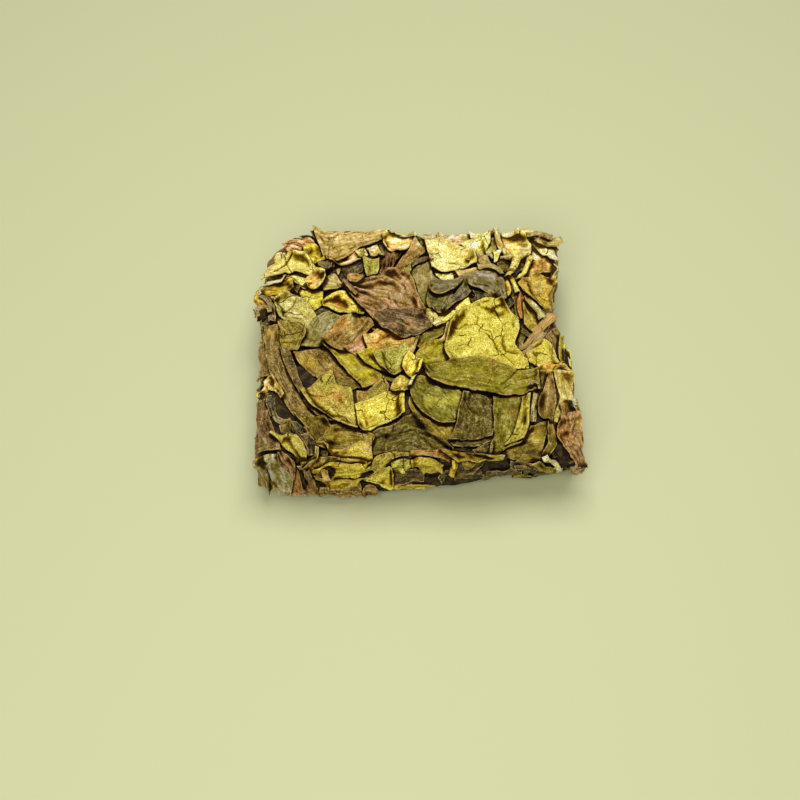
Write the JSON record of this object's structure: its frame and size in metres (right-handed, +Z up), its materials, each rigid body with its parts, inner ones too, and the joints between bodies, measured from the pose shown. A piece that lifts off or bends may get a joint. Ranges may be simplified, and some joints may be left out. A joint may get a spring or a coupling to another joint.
{
  "type": "pressed oolong tea cake",
  "caption": "Square block of whole oolong tea leaves, pressed flat and dried, with overlapping leaves on every face, ragged layered sides and leaf stalks across the top.",
  "frame": {"origin": "under the middle of the cake, on the plane that it rests on", "axes": "+X to the right along the longer side, +Y to the back, +Z up"},
  "size_m": [0.0504, 0.0458, 0.0117],
  "materials": {
    "pressed_leaf": "dry pressed leaf, matt with a faint waxy sheen on the flat faces",
    "green_leaf": "dry yellow-green leaf, matt, finely netted with veins",
    "brown_leaf": "dry oxidised leaf, olive to plum brown, faintly waxy",
    "leaf_stalk": "dry leaf stalk, grooved along its length, matt"
  },
  "bodies": {
    "root": {"tea_cake": "pressed_leaf"}
  },
  "joints": []
}
